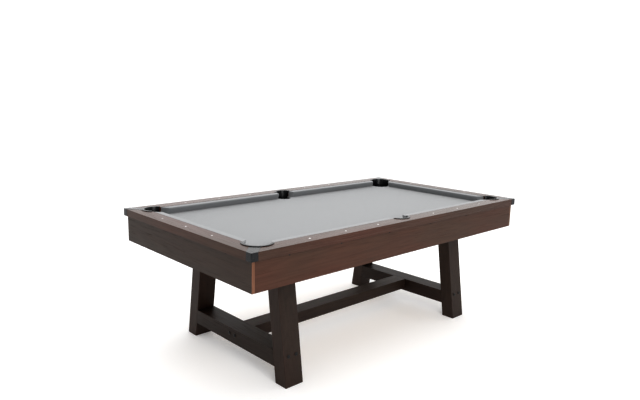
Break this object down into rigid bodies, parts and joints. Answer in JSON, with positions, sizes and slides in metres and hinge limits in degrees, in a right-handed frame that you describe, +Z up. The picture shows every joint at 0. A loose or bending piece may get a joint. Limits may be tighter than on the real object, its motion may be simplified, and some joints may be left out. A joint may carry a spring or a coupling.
{
  "type": "pool table",
  "caption": "Pool table with six drop pockets, cloth bed and cushioned rails, on splayed trestle legs joined by a stretcher, with screw levelling feet.",
  "frame": {"origin": "centre of the footprint, on the floor", "axes": "+X along the table's length, +Y across it towards the back, +Z up"},
  "size_m": [2.196, 1.22, 0.7906],
  "materials": {
    "rail_wood": "satin brown wood-grain foil with a soft sheen",
    "apron_wood": "satin dark walnut-brown wood grain",
    "edge_band": "lighter brown edge banding",
    "leg_wood": "satin dark brown wood",
    "hidden_wood": "bare softwood and board",
    "bed_board": "bare fibreboard",
    "bed_cloth": "light grey napped cloth",
    "cushion_cloth": "rubber wrapped in light grey cloth",
    "pocket_plastic": "black moulded plastic",
    "sight_plastic": "pearl white inlay",
    "black_steel": "black oxide steel",
    "zinc_steel": "zinc-plated steel",
    "foot_rubber": "black rubber-faced foot"
  },
  "bodies": {
    "table": {"apron_corner_blocks": "hidden_wood", "apron_edge_bands": "edge_band", "apron_screws": "black_steel", "barrel_nuts": "zinc_steel", "beam_brackets": "zinc_steel", "bed_cleats": "hidden_wood", "bed_cloth": "bed_cloth", "bed_joist_left": "hidden_wood", "bed_joist_right": "hidden_wood", "bed_panel": "bed_board", "corner_cap_back_left": "pocket_plastic", "corner_cap_back_right": "pocket_plastic", "corner_cap_front_left": "pocket_plastic", "corner_cap_front_right": "pocket_plastic", "cross_stretcher_left": "leg_wood", "cross_stretcher_right": "leg_wood", "cushion_back_left": "cushion_cloth", "cushion_back_right": "cushion_cloth", "cushion_end_left": "cushion_cloth", "cushion_end_right": "cushion_cloth", "cushion_front_left": "cushion_cloth", "cushion_front_right": "cushion_cloth", "end_apron_left": "apron_wood", "end_apron_right": "apron_wood", "end_rail_left": "rail_wood", "end_rail_right": "rail_wood", "leg_back_left": "leg_wood", "leg_back_right": "leg_wood", "leg_beam_left": "hidden_wood", "leg_beam_right": "hidden_wood", "leg_bolts": "zinc_steel", "leg_front_left": "leg_wood", "leg_front_right": "leg_wood", "leveler_sleeves": "zinc_steel", "long_stretcher": "leg_wood", "long_stretcher_bolts": "black_steel", "pocket_back_left": "pocket_plastic", "pocket_back_middle": "pocket_plastic", "pocket_back_right": "pocket_plastic", "pocket_front_left": "pocket_plastic", "pocket_front_middle": "pocket_plastic", "pocket_front_right": "pocket_plastic", "rail_bolts": "zinc_steel", "rail_inserts": "zinc_steel", "rail_sights": "sight_plastic", "side_apron_back": "apron_wood", "side_apron_front": "apron_wood", "side_rail_back": "rail_wood", "side_rail_front": "rail_wood", "stretcher_bolts": "black_steel", "wood_screws": "zinc_steel"},
    "foot_front_left": {"leveler_pad_front_left": "foot_rubber"},
    "screw_front_left": {"leveler_stem_front_left": "zinc_steel"},
    "foot_front_right": {"leveler_pad_front_right": "foot_rubber"},
    "screw_front_right": {"leveler_stem_front_right": "zinc_steel"},
    "foot_back_left": {"leveler_pad_back_left": "foot_rubber"},
    "screw_back_left": {"leveler_stem_back_left": "zinc_steel"},
    "foot_back_right": {"leveler_pad_back_right": "foot_rubber"},
    "screw_back_right": {"leveler_stem_back_right": "zinc_steel"}
  },
  "joints": [
    {"name": "foot_travel_front_left", "type": "slide", "parent": "table", "child": "foot_front_left", "axis": [0, 0, -1], "range_m": [0, 0.015]},
    {"name": "screw_turn_front_left", "type": "hinge", "parent": "foot_front_left", "child": "screw_front_left", "pos_m": [-0.721, -0.4255, 0.02], "axis": [0, 0, 1], "range_deg": [0, 3600]},
    {"name": "foot_travel_front_right", "type": "slide", "parent": "table", "child": "foot_front_right", "axis": [0, 0, -1], "range_m": [0, 0.015]},
    {"name": "screw_turn_front_right", "type": "hinge", "parent": "foot_front_right", "child": "screw_front_right", "pos_m": [0.721, -0.4255, 0.02], "axis": [0, 0, 1], "range_deg": [0, 3600]},
    {"name": "foot_travel_back_left", "type": "slide", "parent": "table", "child": "foot_back_left", "axis": [0, 0, -1], "range_m": [0, 0.015]},
    {"name": "screw_turn_back_left", "type": "hinge", "parent": "foot_back_left", "child": "screw_back_left", "pos_m": [-0.721, 0.4255, 0.02], "axis": [0, 0, 1], "range_deg": [0, 3600]},
    {"name": "foot_travel_back_right", "type": "slide", "parent": "table", "child": "foot_back_right", "axis": [0, 0, -1], "range_m": [0, 0.015]},
    {"name": "screw_turn_back_right", "type": "hinge", "parent": "foot_back_right", "child": "screw_back_right", "pos_m": [0.721, 0.4255, 0.02], "axis": [0, 0, 1], "range_deg": [0, 3600]}
  ],
  "couplings": [
    {"joint": "screw_turn_front_left", "follows": "foot_travel_front_left", "rad_per_m": 4188.8},
    {"joint": "screw_turn_front_right", "follows": "foot_travel_front_right", "rad_per_m": 4188.8},
    {"joint": "screw_turn_back_left", "follows": "foot_travel_back_left", "rad_per_m": 4188.8},
    {"joint": "screw_turn_back_right", "follows": "foot_travel_back_right", "rad_per_m": 4188.8}
  ]
}
